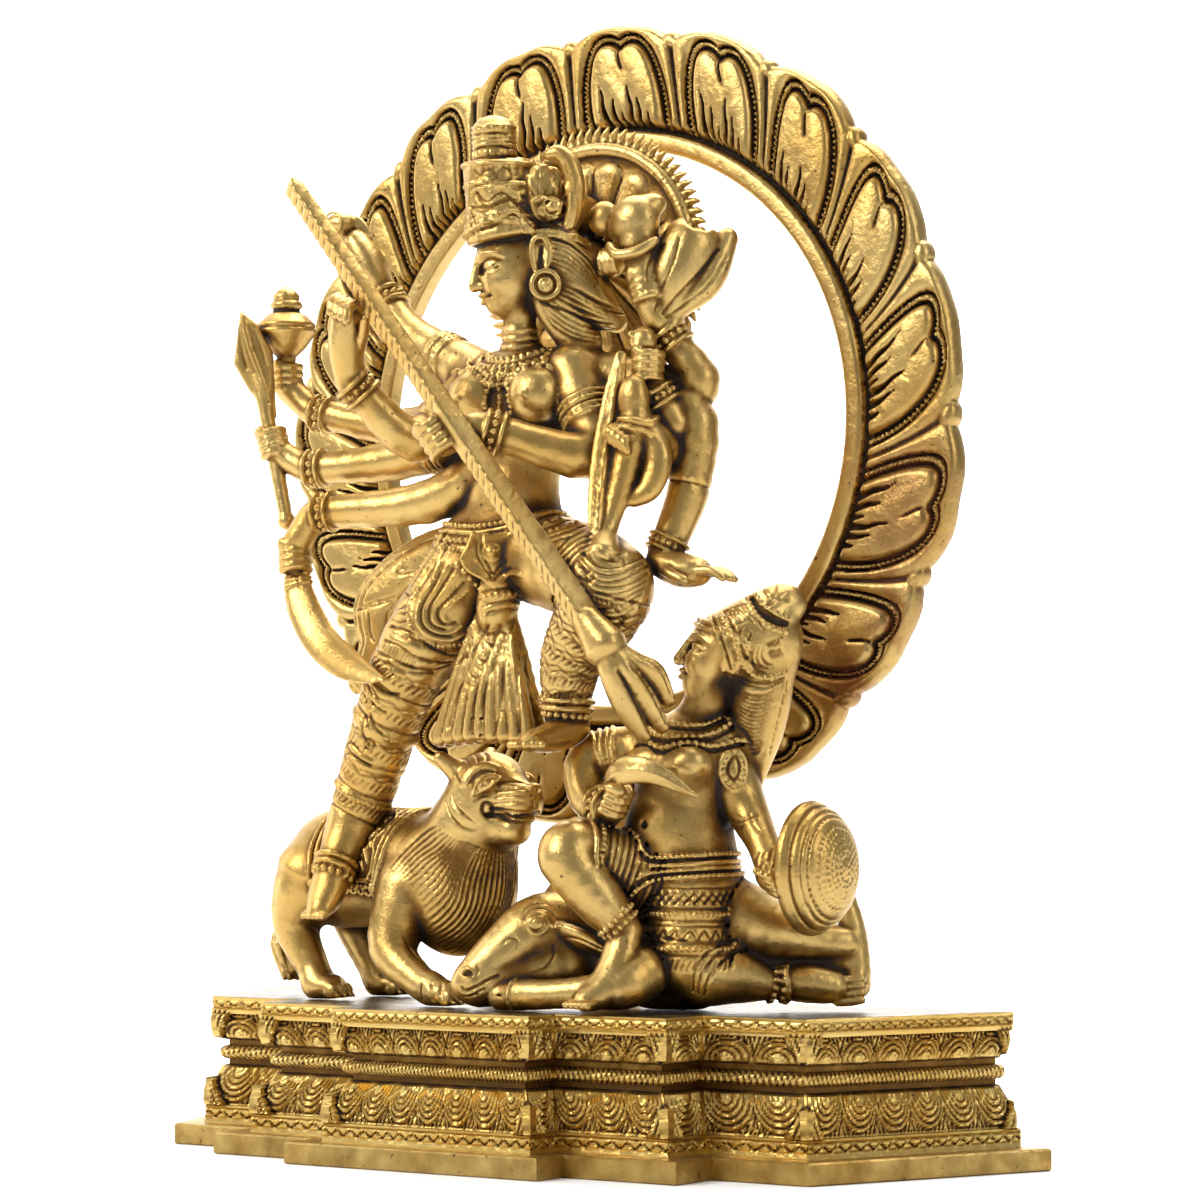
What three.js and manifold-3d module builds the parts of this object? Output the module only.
// Cast brass figure of a ten-armed goddess on her lion, spearing a kneeling demon beside a buffalo,
// on a stepped plinth in front of an upright flame-petalled ring. Millimetres, +Z up, front faces -Y.
import * as THREE from 'three';
import { mergeVertices } from 'three/addons/utils/BufferGeometryUtils.js';
import Module from 'manifold-3d';

const wasm = await Module();
wasm.setup();

// Plinth: plan of the base plate, then how far each moulding stands in from it.
const plinthHeight = 49;
const plinthDepth = 121;
const plinthBackHalfWidth = 158;
const outerBayHalfWidth = 124;
const middleBayHalfWidth = 90;
const centreBayHalfWidth = 49;
const middleBaySetback = 14;
const outerBaySetback = 34;
const plateHeight = 7;
const corniceInset = 10.5;
const waistInset = 15.5;
const petalPitch = 16;

// Ring behind the figures: radii, thickness and the clear height under it.
const ringOuterRadius = 134;
const ringInnerRadius = 91.5;
const ringPlate = 4.5;
const ringRelief = 3.5;
const ringLift = 54;
// Tip angle of each petal and how far its root is swept round from the tip, in degrees from the top.
const petalTips = [
  -166, -147, -128, -109, -90, -71, -52.5, -34.4, -16.3, 1.9, 20, 37.5, 57, 78.8, 103.8, 125, 145, 165,
];
const petalSweeps = [-3, -6, -7, -7.5, -8, -9, -10, -9, -3, 2.5, 7, 9, 10, 8.5, 7.5, 7.5, 6, 3];
const ringBand = 7.5;
const postWidth = 20;
const ringClearance = 7;

// Figures: the height of the crown over the plinth, and the number of steps it has in the pose grid below.
const figureHeight = 283;
const poseSteps = 283;
const touchGap = 0.35;
const clearance = touchGap * 1.2;

const pose = figureHeight / poseSteps;
const frontY = -plinthDepth / 2;
const backY = plinthDepth / 2;
const figureBack = 38.5 * pose;
const ringFrontY = figureBack + ringClearance;
const ringBackY = ringFrontY + ringRelief + ringPlate;
const ringCentreZ = plinthHeight + ringLift + ringOuterRadius;

const V = (x, y, z) => new THREE.Vector3(x, y, z);
const at = (x, y, z) => V(x * pose, y * pose, plinthHeight + z * pose);
const UP = V(0, 0, 1);
const FRONT = V(0, -1, 0);
const RIGHT = V(1, 0, 0);

// Solid helpers

function toSolid(geometry) {
  geometry.deleteAttribute('normal');
  geometry.deleteAttribute('uv');
  const merged = mergeVertices(geometry, 1e-4);
  const mesh = new wasm.Mesh({
    numProp: 3,
    vertProperties: new Float32Array(merged.attributes.position.array),
    triVerts: new Uint32Array(merged.index.array),
  });
  return new wasm.Manifold(mesh);
}

function fuse(solids) {
  return solids.reduce((whole, solid) => whole.add(solid));
}

function toGeometry(solid) {
  const mesh = solid.getMesh();
  const geometry = new THREE.BufferGeometry();
  geometry.setAttribute('position', new THREE.BufferAttribute(new Float32Array(mesh.vertProperties), 3));
  geometry.setIndex(new THREE.BufferAttribute(new Uint32Array(mesh.triVerts), 1));
  geometry.computeVertexNormals();
  return geometry;
}

// Axes with Y along the given direction and X as near as can be to the wide one.
function axesAlong(direction, wide) {
  const y = direction.clone().normalize();
  const x = wide.clone().addScaledVector(y, -wide.dot(y));
  if (x.length() < 1e-3) {
    x.copy(Math.abs(y.z) < 0.9 ? UP : RIGHT).addScaledVector(y, -(Math.abs(y.z) < 0.9 ? y.z : y.x));
  }
  x.normalize();
  return new THREE.Matrix4().makeBasis(x, y, x.clone().cross(y));
}

function sized(profile) {
  return profile.map((pair) => pair.map((value) => value * pose));
}

// A turned form that starts at a and runs towards b: profile pairs are [distance along, radius].
function turned(a, b, profile, { sides = 7, wide = RIGHT, stretch = 1 } = {}) {
  const points = profile.map(([along, radius]) => new THREE.Vector2(radius, along));
  const geometry = new THREE.LatheGeometry(points, sides);
  geometry.scale(stretch, 1, 1);
  geometry.applyMatrix4(axesAlong(b.clone().sub(a), wide).setPosition(a));
  return toSolid(geometry);
}

// A limb lofted through joints, pointed where it starts and rounded where it ends.
// Bands are flared hems, each [joint index + share, height, width].
function limb(joints, radii, { sides = 4, bands = [], wide = RIGHT, stretch = 1, grow = 0 } = {}) {
  const stations = joints.map((centre, i) => ({ place: i, radius: radii[i] * pose + grow }));
  for (const [place, height, width] of bands) {
    const low = Math.floor(place);
    const length = joints[low].distanceTo(joints[low + 1]);
    const half = width * pose / 2 / length;
    const radius = (radii[low] + (radii[low + 1] - radii[low]) * (place - low)) * pose + grow;
    stations.push({ place: place - half, radius }, { place: place + half, radius: radius + height * pose });
  }
  stations.sort((p, q) => p.place - q.place);
  const spot = (place) => {
    const low = Math.min(Math.floor(place), joints.length - 2);
    return joints[low].clone().lerp(joints[low + 1], place - low);
  };
  const heading = (place) => {
    const step = (i) => {
      const low = Math.min(Math.max(i, 0), joints.length - 2);
      return joints[low + 1].clone().sub(joints[low]).normalize();
    };
    return step(Math.ceil(place) - 1).add(step(Math.floor(place))).normalize();
  };
  const ringAt = ({ place, radius }) => ({ centre: spot(place), along: heading(place), radius });
  const rings = stations.map(ringAt);
  const first = rings[0];
  const last = rings[rings.length - 1];
  const nose = (ring, way, ahead, share) => ({
    centre: ring.centre.clone().addScaledVector(ring.along, way * ring.radius * ahead),
    along: ring.along,
    radius: ring.radius * share,
  });
  const end = sides > 4 ? [nose(last, 1, 0.6, 0.75), nose(last, 1, 1, 0)] : [nose(last, 1, 0.7, 0)];
  return loft([nose(first, -1, 0.9, 0), ...rings, ...end], sides, wide, stretch);
}

// Skin over round sections whose first and last have no radius.
function loft(rings, sides, wide, stretch) {
  const position = [];
  const index = [];
  const tip = rings.length - 1;
  let across = wide.clone();
  rings.forEach(({ centre, along, radius }, level) => {
    const axes = axesAlong(along, across);
    across = V().setFromMatrixColumn(axes, 0);
    const other = V().setFromMatrixColumn(axes, 2);
    const count = level === 0 || level === tip ? 1 : sides;
    for (let i = 0; i < count; i += 1) {
      const angle = 2 * Math.PI * (i + 0.5) / sides;
      const point = centre.clone().addScaledVector(across, radius * stretch * Math.cos(angle));
      point.addScaledVector(other, radius * Math.sin(angle));
      position.push(point.x, point.y, point.z);
    }
  });
  const start = (level) => (level === 0 ? 0 : 1 + (level - 1) * sides);
  for (let i = 0; i < sides; i += 1) {
    const next = (i + 1) % sides;
    index.push(0, start(1) + i, start(1) + next);
    for (let level = 1; level + 1 < tip; level += 1) {
      const a = start(level) + i;
      const b = start(level) + next;
      index.push(a, a + sides, b + sides, a, b + sides, b);
    }
    index.push(start(tip - 1) + i, start(tip), start(tip - 1) + next);
  }
  const geometry = new THREE.BufferGeometry();
  geometry.setAttribute('position', new THREE.Float32BufferAttribute(position, 3));
  geometry.setIndex(index);
  return toSolid(geometry);
}

function egg(centre, rx, ry, rz, { aim = V(0, 1, 0), wide = RIGHT, grow = 0, sides = 7 } = {}) {
  const geometry = new THREE.SphereGeometry(1, sides, Math.round(sides * 0.6));
  geometry.scale(rx * pose + grow, ry * pose + grow, rz * pose + grow);
  geometry.applyMatrix4(axesAlong(aim, wide).setPosition(centre));
  return toSolid(geometry);
}

// A flat plate cut to an outline: u and v span its plane, and it is centred on its thickness.
function plate(outline, thickness, origin, u, v, hole = null) {
  const points = outline.map(([x, y]) => new THREE.Vector2(x, y));
  const shape = new THREE.Shape(THREE.ShapeUtils.isClockWise(points) ? points.reverse() : points);
  if (hole) {
    shape.holes.push(new THREE.Path(hole.map(([x, y]) => new THREE.Vector2(x, y))));
  }
  const geometry = new THREE.ExtrudeGeometry(shape, { depth: thickness, bevelEnabled: false });
  geometry.translate(0, 0, -thickness / 2);
  const x = u.clone().normalize();
  const y = v.clone().addScaledVector(x, -v.dot(x)).normalize();
  geometry.applyMatrix4(new THREE.Matrix4().makeBasis(x, y, x.clone().cross(y)).setPosition(origin));
  return toSolid(geometry);
}

function torus(centre, radius, tube, normal, { sides = 12, tubeSides = 4, stretch = 1 } = {}) {
  const geometry = new THREE.TorusGeometry(radius * pose, tube * pose, tubeSides, sides);
  geometry.scale(1, stretch, 1);
  geometry.rotateX(-Math.PI / 2);
  geometry.applyMatrix4(axesAlong(normal, RIGHT).setPosition(centre));
  return toSolid(geometry);
}

// Plinth

// Plan outline of the plinth, drawn in from the base plate by the given inset.
function plinthOutline(inset) {
  const front = frontY + inset;
  const middle = frontY + middleBaySetback + inset;
  const outer = frontY + outerBaySetback + inset;
  const back = backY - inset * 0.2;
  const flare = (plinthBackHalfWidth - outerBayHalfWidth) / (plinthDepth - outerBaySetback);
  const flank = inset * Math.hypot(1, flare);
  const sideX = (y) => outerBayHalfWidth + flare * (y - frontY - outerBaySetback) - flank;
  const right = [
    [centreBayHalfWidth - inset, front],
    [centreBayHalfWidth - inset, middle],
    [middleBayHalfWidth - inset, middle],
    [middleBayHalfWidth - inset, outer],
    [sideX(outer), outer],
    [sideX(back), back],
  ];
  const left = right.map(([x, y]) => [-x, y]).reverse();
  return [...right, ...left];
}

// Levels of the mouldings: height as a share of the plinth, inset from the plate.
function plinthLevels() {
  const plateTop = plateHeight / plinthHeight;
  const step = (share, inset) => [plateTop + (1 - plateTop) * share, inset];
  return [
    [0, 0],
    [plateTop, 0],
    [plateTop, corniceInset * 0.8],
    step(0.13, corniceInset * 0.8),
    step(0.15, corniceInset),
    step(0.45, waistInset - 1.5),
    step(0.47, waistInset),
    step(0.53, waistInset - 2.5),
    step(0.59, waistInset - 2.5),
    step(0.65, waistInset),
    step(0.67, waistInset - 1.5),
    step(0.9, corniceInset + 1.5),
    step(0.91, corniceInset),
    [1, corniceInset],
  ];
}

function loftedBody(levels) {
  const ringAt = ([share, inset]) => plinthOutline(inset).map(([x, y]) => [x, y, share * plinthHeight]);
  const rings = levels.map(ringAt);
  const count = rings[0].length;
  const position = rings.flat(2);
  const index = [];
  for (let level = 0; level + 1 < rings.length; level += 1) {
    for (let i = 0; i < count; i += 1) {
      const a = level * count + i;
      const b = level * count + (i + 1) % count;
      index.push(a, b, b + count, a, b + count, a + count);
    }
  }
  const cap = THREE.ShapeUtils.triangulateShape(rings[0].map(([x, y]) => new THREE.Vector2(x, y)), []);
  const top = (rings.length - 1) * count;
  for (const [a, b, c] of cap) {
    index.push(a, c, b, top + a, top + b, top + c);
  }
  const geometry = new THREE.BufferGeometry();
  geometry.setAttribute('position', new THREE.Float32BufferAttribute(position, 3));
  geometry.setIndex(index);
  return toSolid(geometry);
}

// One carved lotus petal lying on a sloping course.
function lotusPetal(x, y, z, along, outward, rise, pitch, height) {
  const half = pitch * 0.45;
  const depth = 1.6;
  const outline = [];
  const arcSteps = 2;
  for (let i = 0; i <= arcSteps; i += 1) {
    const angle = Math.PI * i / arcSteps;
    outline.push([half * Math.cos(angle), height * (0.4 + 0.52 * Math.sin(angle)) * rise]);
  }
  outline.push([-half, 0], [half, 0]);
  const origin = V(x, y, z).addScaledVector(outward, -depth * 0.1);
  return plate(rise > 0 ? outline : outline.reverse(), depth, origin, along, UP);
}

// Petals stand in a row along every straight run of the plinth but the flat back.
function petalCourse(z, inset, rise, height) {
  const outline = plinthOutline(inset);
  const petals = [];
  for (let i = 0; i < outline.length; i += 1) {
    const [ax, ay] = outline[i];
    const [bx, by] = outline[(i + 1) % outline.length];
    const a = V(ax, ay, 0);
    const b = V(bx, by, 0);
    const run = a.distanceTo(b);
    const along = b.clone().sub(a).normalize();
    const isBack = ay > 0 && by > 0;
    const count = Math.round(run / petalPitch);
    if (isBack || count < 2) {
      continue;
    }
    for (let k = 0; k < count; k += 1) {
      const spot = a.clone().lerp(b, (k + 0.5) / count);
      petals.push(lotusPetal(spot.x, spot.y, z, along, V(along.y, -along.x, 0), rise, run / count, height));
    }
  }
  return petals;
}

function buildPlinth() {
  const carved = plinthHeight - plateHeight;
  const petalHeight = carved * 0.27;
  const lower = petalCourse(plateHeight + carved * 0.17, corniceInset + 0.6, 1, petalHeight);
  const upper = petalCourse(plateHeight + carved * 0.89, corniceInset + 2, -1, petalHeight);
  return fuse([loftedBody(plinthLevels()), ...lower, ...upper]);
}

// Ring

function arcPoints(radius, from, to, count) {
  const points = [];
  for (let i = 0; i <= count; i += 1) {
    const angle = from + (to - from) * i / count;
    points.push([radius * Math.sin(angle), radius * Math.cos(angle)]);
  }
  return points;
}

function circle(radius, count) {
  return arcPoints(radius, 0, 2 * Math.PI * (1 - 1 / count), count - 1);
}

// Scalloped outer edge: each petal swells to a rounded tip.
function ringEdgeRadius(share) {
  const swell = 1 - Math.pow(Math.abs(2 * share - 1), 3);
  return ringOuterRadius * (0.95 + 0.05 * swell);
}

// Outline of one petal in polar form: width as a share of its pitch, from root to tip.
function petalOutline(pitch, widthShare, rootShare, tipShare, blunt) {
  const span = ringOuterRadius - ringInnerRadius;
  const root = ringInnerRadius + span * rootShare;
  const tip = ringInnerRadius + span * tipShare;
  const shoulder = root + (tip - root) * 0.72;
  const half = pitch * widthShare / 2;
  return [
    [half * 0.8, root],
    [half, shoulder],
    ...(blunt ? [[half * 0.5, tip], [-half * 0.5, tip]] : [[0, tip]]),
    [-half, shoulder],
    [-half * 0.8, root],
  ];
}

// A petal that leans: its points are swept further round the nearer they are to the root.
function petalPlate(tip, sweep, outline, thickness, y) {
  const points = outline.map(([angle, radius]) => {
    const turn = tip + angle + sweep * (ringOuterRadius - radius) / (ringOuterRadius - ringInnerRadius);
    return [radius * Math.sin(turn), radius * Math.cos(turn)];
  });
  return plate(points, thickness, V(0, y, ringCentreZ), RIGHT, UP);
}

function buildRing() {
  const degree = Math.PI / 180;
  const tips = petalTips.map((angle) => angle * degree);
  const last = tips.length - 1;
  const valleys = tips.map((tip, k) => (tip + (k ? tips[k - 1] : tips[last] - 2 * Math.PI)) / 2);
  valleys.push(valleys[0] + 2 * Math.PI);
  const edge = [];
  for (let k = 0; k <= last; k += 1) {
    const angles = [valleys[k], (valleys[k] + tips[k]) / 2, tips[k], (tips[k] + valleys[k + 1]) / 2];
    angles.forEach((angle, i) => {
      const radius = ringEdgeRadius(i / 4);
      edge.push([radius * Math.sin(angle), radius * Math.cos(angle)]);
    });
  }
  const plateY = ringBackY - ringPlate / 2;
  const centre = V(0, plateY, ringCentreZ);
  const ringSides = 26;
  const solids = [plate(edge, ringPlate, centre, RIGHT, UP, circle(ringInnerRadius, ringSides))];
  const bandThickness = ringPlate * 0.5 + ringRelief * 0.35;
  const bandCentre = V(0, ringBackY - ringPlate * 0.5 - bandThickness / 2, ringCentreZ);
  const bandOuter = circle(ringInnerRadius + ringBand, ringSides);
  solids.push(plate(bandOuter, bandThickness, bandCentre, RIGHT, UP, circle(ringInnerRadius, ringSides)));
  const seat = ringBackY - ringPlate * 0.5;
  const lobe = ringPlate * 0.5 + ringRelief * 0.55;
  const tongue = ringPlate * 0.5 + ringRelief;
  for (let k = 0; k <= last; k += 1) {
    const pitch = valleys[k + 1] - valleys[k];
    const sweep = petalSweeps[k] * degree;
    const broad = petalOutline(pitch, 0.86, 0.24, 0.93, true);
    const slim = petalOutline(pitch, 0.5, 0.22, 0.78, false);
    solids.push(petalPlate(tips[k], sweep, broad, lobe, seat - lobe / 2));
    solids.push(petalPlate(tips[k], sweep, slim, tongue, seat - tongue / 2));
  }
  const postTop = ringCentreZ - ringInnerRadius - ringBand;
  const postFoot = plinthHeight + touchGap;
  const side = postWidth / 2;
  const postOutline = [[-side, postFoot], [side, postFoot], [side, postTop], [-side, postTop]];
  const postThickness = ringPlate + ringRelief * 0.5;
  solids.push(plate(postOutline, postThickness, V(0, ringBackY - postThickness / 2, 0), RIGHT, UP));
  return fuse(solids);
}

// Lion

function lionSolids(grow = 0) {
  const g = { grow, sides: 5 };
  const body = [
    limb([at(-76, 5, 43), at(-54, 3, 43.5), at(-32, 0, 41)], [20.5, 19.5, 21], { grow, sides: 8 }),
    egg(at(-25, -1, 38), 19, 21, 23, { grow, sides: 8 }),
    limb([at(-22, -2, 48), at(-13, -6, 60), at(-9, -7, 69)], [17, 14, 12], { grow, sides: 7 }),
  ];
  const muzzle = [
    limb([at(-8, -7, 67), at(7, -9, 64)], [10.5, 6.8], { grow, sides: 6 }),
    limb([at(-8, -8, 58.5), at(3, -9, 56)], [9.2, 5.2], g),
    limb([at(-16, -14, 73), at(-19, -17, 81)], [4.4, 2], g),
    limb([at(-14, 1, 73), at(-16, 4, 81)], [4.4, 2], g),
  ];
  const legs = [
    limb([at(-80, -6, 40), at(-86, -9, 25), at(-78, -10, 9), at(-75, -11, 4.5), at(-69, -12, 4.2)],
      [14, 7.5, 5, 5.5, 4], g),
    limb([at(-78, 15, 40), at(-82, 18, 25), at(-74, 18, 9), at(-71, 17, 4.5), at(-65, 16, 4.2)],
      [14, 7.5, 5, 5.5, 4], g),
    limb([at(-36, -13, 36), at(-37, -20, 18), at(-24, -24, 8), at(-17, -25, 5), at(-10, -26, 4.4)],
      [11, 7.5, 5, 5.2, 4.2], g),
    limb([at(-24, 13, 32), at(-22, 16, 12), at(-17, 16, 5), at(-10, 16, 4.4)], [10, 6, 5.2, 4.2], g),
  ];
  const tail = limb([at(-84, 6, 52), at(-94, 6, 50), at(-102, 6, 38), at(-101, 6, 20), at(-99, 6, 7)],
    [4, 4, 3, 5.5, 5], g);
  return [...body, ...muzzle, ...legs, tail];
}

// Raised hems of the saddle cloth and the combed ridges of the mane.
function lionDress() {
  const hemAt = (x) => torus(at(x, 3, 42.5), 20, 1.9, V(1, 0, 0), { sides: 8, tubeSides: 3 });
  const hems = [-74, -47].map(hemAt);
  const locks = [];
  const rows = 4;
  for (let i = 0; i < rows; i += 1) {
    const angle = -0.9 + 1.9 * i / (rows - 1);
    const top = at(-14 + 8 * Math.cos(angle), -6 - 13 * Math.sin(angle), 56);
    const low = at(-25 + 18.5 * Math.cos(angle), -1 - 20 * Math.sin(angle), 30);
    locks.push(limb([top, low], [2.4, 1.6], { sides: 4 }));
  }
  return [...hems, ...locks];
}

// Buffalo and demon

function buffaloSolids(grow = 0) {
  const g = { grow, sides: 5 };
  return [
    limb([at(40, 0, 17), at(20, -15, 23), at(12.8, -24, 18.5), at(5, -32.5, 9)], [15, 12.4, 10, 7.4],
      { grow, sides: 6 }),
    limb([at(29, -19.6, 25), at(44, -16.5, 18)], [3.6, 2.4], g),
    limb([at(25, -9, 31), at(33, -5, 41), at(30, -1, 48)], [4.4, 2.8, 1.4], g),
    limb([at(15, -8, 31), at(8, -1, 39), at(10, 6, 43)], [4.4, 2.8, 1.4], g),
    limb([at(21, -30, 5), at(38, -30, 5.5), at(54, -24, 7)], [4.6, 4.2, 6], g),
    egg(at(54, 6, 17), 26, 18, 19, { grow }),
  ];
}

function demonSolids(grow = 0) {
  const g = { grow, sides: 5 };
  const torso = [
    limb([at(58, 6, 40), at(57, 5, 54), at(58, 5, 64), at(60, 6, 77), at(63, 7, 86), at(68, 8, 100)],
      [17, 15.5, 14, 15.5, 8.5, 7], { grow, sides: 6, wide: RIGHT, stretch: 1.12, bands: [[0.6, 1.4, 7]] }),
    torus(at(61.5, 6, 88), 10.5, 2.4 + grow / pose, V(0.1, -0.3, 1), { sides: 8, tubeSides: 3 }),
  ];
  const headForms = [
    egg(at(72, 8, 111), 12, 11, 14, { grow, wide: V(0.78, 0.52, 0), aim: V(-0.5, 0.85, 0.2) }),
    limb([at(69, 6, 105), at(64, 3, 101)], [7, 3.4], g),
    limb([at(66, 4, 113), at(60.5, 0.5, 109)], [3, 1.5], g),
    limb([at(76, 10, 114), at(84, 14.4, 127)], [12, 6.4], g),
    limb([at(77.5, 11.5, 110), at(82.5, 16, 94), at(79.5, 16, 77)], [11, 8.2, 3.8], g),
    limb([at(71.5, 3, 99), at(74.5, -7, 98)], [4.6, 4.2], g),
  ];
  const arms = [
    limb([at(52, 3, 82), at(30, -7, 79), at(34, -12, 66), at(46, -17, 63)], [8.5, 6.2, 5.4, 4.2], g),
    limb([at(47, -17, 66), at(50, -19, 73), at(62, -20, 73), at(75, -15, 66)], [3.4, 3, 3, 1.4], g),
    limb([at(72, 7, 82), at(80, 8, 61), at(92, 0, 48), at(95, -1, 42), at(104, 3, 42)],
      [9, 6, 4.6, 4.4, 5], { grow, sides: 5, bands: [[0.35, 1.2, 5]] }),
  ];
  const legs = [
    limb([at(62, 2, 40), at(67, -3, 15.5), at(75.6, 8, 11), at(84, 19, 8.8), at(97, 29, 8.5)],
      [13.6, 11.4, 9, 5.4, 5.8],
      { grow, sides: 6, bands: [[0.3, 1, 4], [0.75, 1.3, 4]] }),
    limb([at(98, 34, 40), at(101, 36, 23), at(103, 36, 8), at(97, 30, 8)], [3.6, 4.2, 5, 5], g),
    limb([at(54, 0, 40), at(36, -26, 50), at(45.7, -23.6, 35.4), at(53, -18.5, 25), at(52, -23, 12),
      at(50, -31, 5)], [12, 9, 8, 5.2, 5.2, 4],
      { grow, sides: 5, bands: [[1.85, 1.1, 4]] }),
    limb([at(68, 12, 30), at(84, 20, 23), at(98, 33, 21)], [14.5, 9, 5.6], g),
  ];
  return [...torso, ...headForms, ...arms, ...legs];
}

// A domed oval shield with a raised rim, held on edge at the demon's left.
function demonShield() {
  const centre = at(104, 7.7, 44.6);
  const profile = [[-2, 0], [-2, 20.5], [1, 21], [1.5, 19], [8, 15.5], [12, 9], [13, 0]];
  return turned(centre, centre.clone().add(V(1, -0.07, 0)), sized(profile),
    { sides: 10, wide: V(0.07, 1, 0), stretch: 0.85 });
}

// Goddess

const faceAim = V(-0.81, -0.59, 0);
const faceSide = V(0.59, -0.81, 0);
const headCentre = [1.5, -4, 236];

// A point given from the middle of the head: ahead, to her left, up.
function onHead(ahead, left, up) {
  const [x, y, z] = headCentre;
  return at(x + faceAim.x * ahead + faceSide.x * left, y + faceAim.y * ahead + faceSide.y * left, z + up);
}

function goddessTorso() {
  return [
    egg(at(-5, 0, 147), 24, 16, 15),
    limb([at(-5, 0, 150), at(-2, 0, 168), at(0, 0, 186), at(0, 1, 198), at(0, 0, 207), at(0.8, -3, 225)],
      [14.5, 11.2, 12.6, 14.5, 8, 6.4], { sides: 7, stretch: 1.25, bands: [[0.14, 3.4, 4]] }),
    egg(at(0, 1, 199), 27, 11, 9),
    egg(at(-13.5, -7.5, 194), 9.5, 8.6, 9.5, { aim: UP }),
    egg(at(8.4, -11, 193.4), 9.8, 8.6, 9.5, { aim: UP }),
    torus(at(0, -1, 208.5), 12, 2.2, V(0, -0.35, 1), { sides: 8, tubeSides: 3 }),
    egg(at(-1, -18, 144), 8, 4, 7, { sides: 6 }),
  ];
}

function goddessHead() {
  const sides = [];
  for (const side of [1, -1]) {
    sides.push(limb([onHead(-7, 8 * side, -9), onHead(-7, 10 * side, -9)], [4.4, 4.2]));
    sides.push(egg(onHead(-12.4, 8.4 * side, 21), 7, 3.8, 14, { aim: faceSide, wide: faceAim, sides: 6 }));
  }
  const crown = [[-3, 0], [-3, 13], [1, 13.8], [4, 13], [22, 11.6], [24, 10.8], [24, 0]];
  const knob = [[-3, 0], [-3, 7.6], [12, 7.3], [15.6, 5.6], [17.8, 0]];
  return [
    egg(onHead(1, 0, -1), 12.4, 10.5, 15, { aim: faceSide, wide: faceAim }),
    limb([onHead(2.4, 0, -7), onHead(8, 0.6, -12)], [8.5, 4.4], { sides: 5 }),
    limb([onHead(12.6, 1.4, 4), onHead(14.2, 1.6, -5)], [1.4, 1.8], { sides: 4 }),
    ...sides,
    turned(onHead(3.6, 0, 9), onHead(5.2, 0, 20), sized(crown), { sides: 8, wide: faceAim, stretch: 1.02 }),
    turned(onHead(7.2, 0, 30), onHead(7.4, 0, 40), sized(knob), { sides: 6, wide: faceAim }),
    limb([onHead(-6, 0, 2), onHead(-18, 4, -9), onHead(-34, 8, -24)], [13, 12, 3], { sides: 6 }),
    limb([onHead(-10, -3, 2), at(3, 31, 240)], [10, 8], { sides: 5 }),
  ];
}

// Nimbus behind the head: plate, roped ring and a fringe of pointed flames.
function nimbus() {
  const flames = 22;
  const rim = [];
  for (let i = 0; i < flames * 2; i += 1) {
    const radius = (i % 2 ? 40 : 45) * pose;
    const angle = Math.PI * i / flames;
    rim.push([radius * Math.sin(angle), radius * Math.cos(angle)]);
  }
  const rope = torus(at(4.6, 33.8, 240.4), 37, 2.4, FRONT, { sides: 16, tubeSides: 3 });
  return [plate(rim, 3.2 * pose, at(4.6, 35, 240.4), RIGHT, UP), rope];
}

// An arm through its joints, with a bangle just before the wrist.
function arm(joints, radii) {
  return limb(joints, radii, { sides: 5, bands: [[joints.length - 1.12, 1.3, 4]] });
}

function goddessRightArms() {
  return [
    arm([at(-22, 3, 202), at(-50, 8, 218), at(-64, 10, 233)], [9, 6, 4.2]),
    limb([at(-65, 9.6, 236), at(-71, 8, 246), at(-80, 6, 259)], [4.6, 7.5, 3], { stretch: 0.8 }),
    arm([at(-22, 0, 199), at(-27, -20, 181), at(-41, -37, 199)], [9, 6.8, 4.6]),
    limb([at(-41, -37.5, 201), at(-39, -42, 213), at(-34, -44, 224)], [4.6, 5.6, 4.4]),
    arm([at(-18, 3, 194), at(-52, 8, 188), at(-90, 6, 195)], [9, 6.2, 4.4]),
    limb([at(-92, 6, 196), at(-101, 5, 206), at(-100, 4.5, 219)], [4.6, 4.6, 3]),
    turned(at(-101, 4, 218), at(-101, 4, 230),
      sized([[0, 0], [0, 3], [6, 9.5], [9, 9.8], [12, 4], [18, 3.4], [21, 0]])),
    arm([at(-14, 1, 186), at(-50, 0, 177), at(-85, -4, 175)], [9, 6.6, 4.4]),
    limb([at(-87, -4.5, 176), at(-97, -6, 182), at(-98, -7, 189)], [4.6, 4.8, 3]),
    limb([at(-91, -8, 158), at(-98, -7.5, 184), at(-103, -8, 206), at(-106, -8, 217), at(-109, -8, 229)],
      [2.4, 2.4, 2.4, 5, 1], { sides: 4, wide: FRONT, stretch: 0.6 }),
    arm([at(-12, -1, 174), at(-34, -6, 162), at(-75, -12, 160)], [9, 6.8, 4.6]),
    limb([at(-77, -12.5, 158), at(-82, -14, 149), at(-81, -14, 140)], [4.8, 5.4, 5]),
  ];
}

// Curved sword that hangs from her lowest right hand and sweeps across the thigh.
function curvedSword() {
  const path = [
    at(-81, -14, 143), at(-77, -17, 130), at(-66, -20, 117), at(-50, -25, 108.5), at(-33, -29.5, 104),
  ];
  return limb(path, [4.4, 4.6, 4.8, 4.2, 1.6], { sides: 4, wide: V(0.3, -0.9, 0.1), stretch: 0.42 });
}

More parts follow.
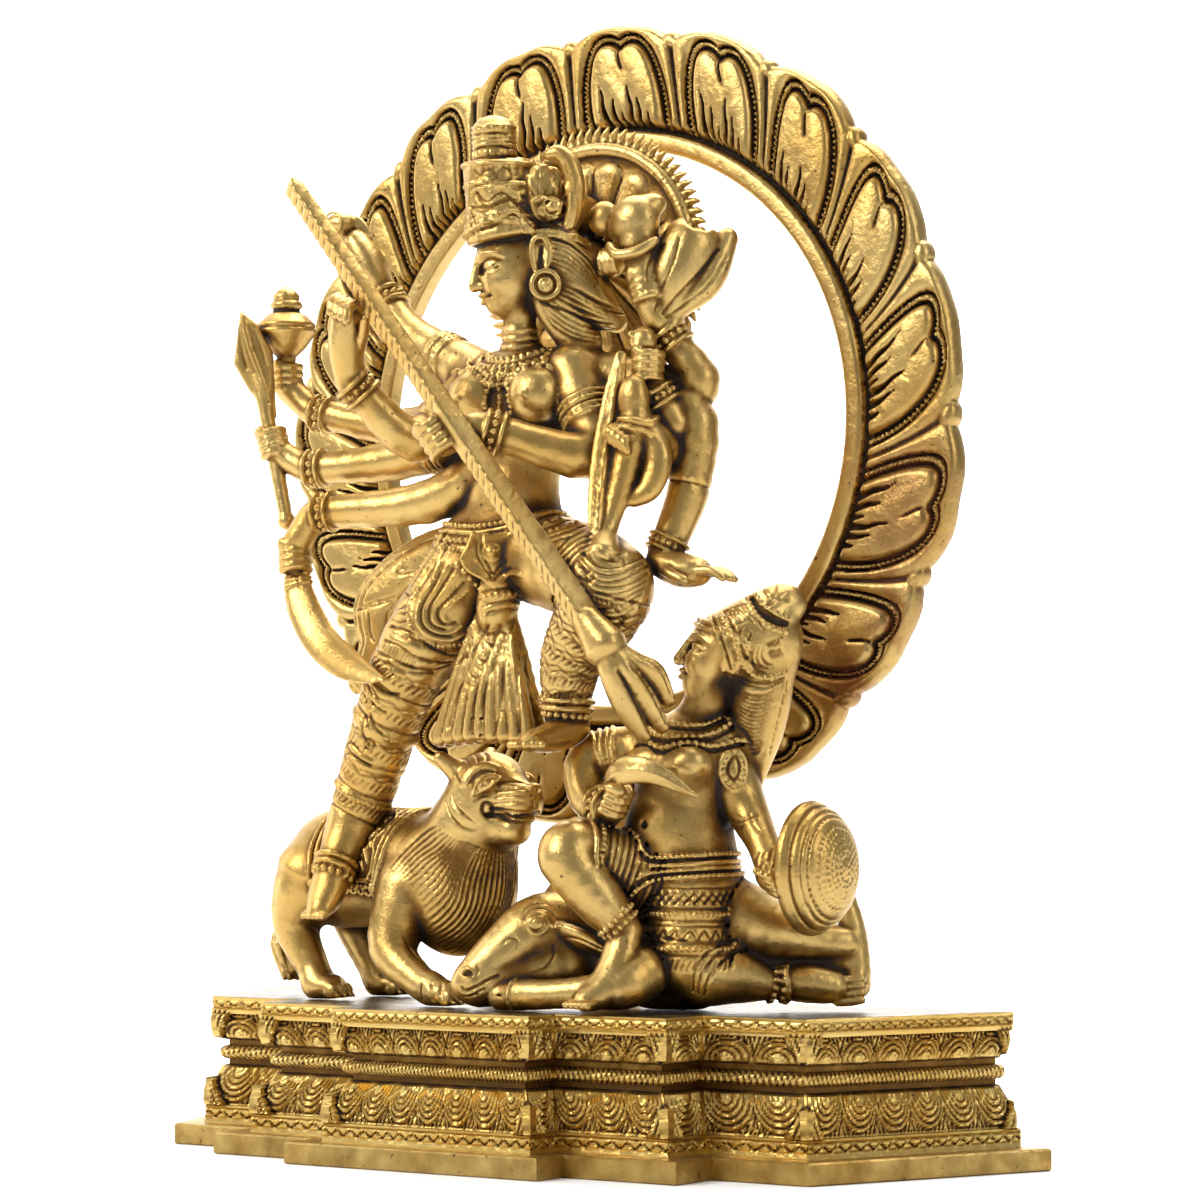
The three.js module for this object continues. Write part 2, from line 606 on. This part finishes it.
function goddessLeftArms() {
  return [
    arm([at(23, 0, 201), at(33, -8, 174), at(6, -31, 182)], [9.5, 7.4, 5]),
    egg(at(-3, -37, 178), 7.5, 7, 8, { sides: 6 }),
    arm([at(23, 4, 201), at(60, 12, 195), at(50, 7, 213)], [8.5, 6, 4.4]),
    limb([at(49.5, 4, 216), at(47, 2, 226), at(44, 3, 238), at(38, 5, 246)], [5.6, 5.6, 8.5, 6]),
    limb([at(50, 5, 217), at(54, 8, 230), at(58, 12, 241)], [4, 8, 8.8],
      { sides: 6, wide: V(0.6, -0.8, 0), stretch: 0.6 }),
    limb([at(54, 8, 222), at(65, 18, 241)], [5, 4.4], { sides: 5 }),
    arm([at(23, 2, 196), at(55, 4, 182), at(51, -1, 194)], [8.5, 6, 4.4]),
    limb([at(50.5, -2, 196), at(50, -4, 205)], [5, 4.4]),
    limb([at(23, 0, 192), at(52, 0, 175), at(50, -8, 183)], [8.5, 6, 5.6]),
    limb([at(50, -9, 182), at(47, -12, 164), at(45, -16, 152), at(44.5, -19, 145)], [4.4, 3.8, 3, 4.6],
      { sides: 5 }),
    limb([at(43.5, -8, 203), at(43, -13, 176), at(43.5, -20, 148)], [3, 3.8, 3],
      { sides: 4, wide: V(0.6, -0.8, 0), stretch: 0.45 }),
    arm([at(23, 5, 194), at(58, 9, 188), at(59, 8, 164), at(55, 4, 150), at(53, 1, 141)],
      [9, 7.4, 6, 5.4, 4.6]),
    limb([at(53, 0.5, 140), at(64, 1, 136), at(79, 3, 135)], [4.8, 4.4, 2.6]),
  ];
}

// Straight square-sectioned spear shaft ending in a three-pronged head.
function spear() {
  const top = at(-52.8, -52, 259.5);
  const neck = at(53, -28.5, 111.4);
  const along = top.clone().sub(neck);
  const half = along.length() / 2;
  const width = 6.2 * pose;
  const outline = [[-width / 2, -half], [width / 2, -half], [width / 2, half], [-width / 2, half]];
  const shaft = plate(outline, width, top.clone().lerp(neck, 0.5), V(0.35, -1, 0.1), along);
  const prongs = [
    limb([neck, at(60, -23.5, 107.4), at(64.2, -14, 97.5)], [4.4, 3.4, 2.4], { sides: 4 }),
    limb([neck, at(58.5, -27, 105), at(62.7, -15, 89)], [4.4, 3.4, 2.4], { sides: 4 }),
    limb([neck, at(55, -29.5, 103.6), at(58.8, -18.6, 86)], [4.4, 3.4, 2.4], { sides: 4 }),
  ];
  return [shaft, limb([at(48.4, -29, 118), neck], [5, 6.5]), ...prongs];
}

// Folds of the wrapped cloth as raised bands along one stretch of a leg.
function folds(start, count) {
  return Array.from({ length: count }, (_, i) => [start + (i + 0.6) / (count + 0.4), 1, 5]);
}

function goddessLegs() {
  return [
    limb([at(-14, -2, 144), at(-37, -12, 108), at(-58, -11, 63), at(-61, -22, 38)], [16, 12, 9, 5],
      { sides: 7, bands: [...folds(0, 1), ...folds(1, 3)] }),
    limb([at(4, -2, 144), at(43.5, -14, 131.5), at(27.5, -13, 96), at(27, -14, 89), at(27, -38, 86)],
      [14.5, 15, 7, 6, 3.4],
      { sides: 7, bands: [...folds(0, 1), ...folds(1, 2)] }),
  ];
}

// Fan of pleated cloth that falls between the legs on to the lion's head.
function pleatedFan() {
  const pleats = 5;
  const solids = [limb([at(-1, -14, 136), at(-1, -15, 122)], [6, 5])];
  for (let i = 0; i < pleats; i += 1) {
    const share = i / (pleats - 1) - 0.5;
    const top = at(-1 + 9 * share, -13, 128);
    const bottom = at(-2 + 37 * share, -17, 89 - 4 * share * share);
    solids.push(limb([top, bottom], [2.8, 4.8], { sides: 4 }));
  }
  return solids;
}

// Loose sash that streams out behind her right hip.
function sash() {
  const ribbon = [at(-18, 6, 150), at(-44, 5, 143), at(-60, 3, 130), at(-59, 2, 116), at(-66, 0, 104)];
  return limb(ribbon, [8, 9, 9.5, 6, 5], { wide: V(0, 1, 0), stretch: 0.45 });
}

function buildGoddess() {
  const form = fuse([
    ...goddessTorso(), ...goddessHead(), ...nimbus(), ...goddessRightArms(), curvedSword(),
    ...goddessLeftArms(), ...spear(), ...goddessLegs(), ...pleatedFan(), sash(),
  ]);
  const neighbours = fuse([
    ...lionSolids(clearance), ...buffaloSolids(clearance), ...demonSolids(clearance),
  ]);
  return form.subtract(neighbours);
}

// Block that trims feet and knees flat just above the plinth.
function floorBlock() {
  const x = plinthBackHalfWidth;
  const y = plinthDepth;
  const outline = [[-x, -y], [x, -y], [x, y], [-x, y]];
  return plate(outline, plinthHeight, V(0, 0, plinthHeight / 2 + touchGap), RIGHT, V(0, 1, 0));
}

function buildLion() {
  const neighbours = fuse([...buffaloSolids(clearance), ...demonSolids(clearance)]);
  return fuse([...lionSolids(), ...lionDress()]).subtract(floorBlock()).subtract(neighbours);
}

function buildDemon() {
  return fuse([...buffaloSolids(), ...demonSolids(), demonShield()]).subtract(floorBlock());
}

// Materials and the finished group

function brass(name, color, roughness) {
  return new THREE.MeshStandardMaterial({ name, color, roughness, metalness: 1 });
}

function named(name, solid, material) {
  const mesh = new THREE.Mesh(toGeometry(solid), material);
  mesh.name = name;
  return mesh;
}

const polished = brass('polished_brass', 0xc79a3f, 0.3);
const aged = brass('aged_brass', 0xab7f35, 0.42);

const group = new THREE.Group();
group.add(named('plinth', buildPlinth(), aged));
group.add(named('ring', buildRing(), aged));
group.add(named('lion', buildLion(), polished));
group.add(named('demon_and_buffalo', buildDemon(), polished));
group.add(named('goddess', buildGoddess(), polished));

export default group;
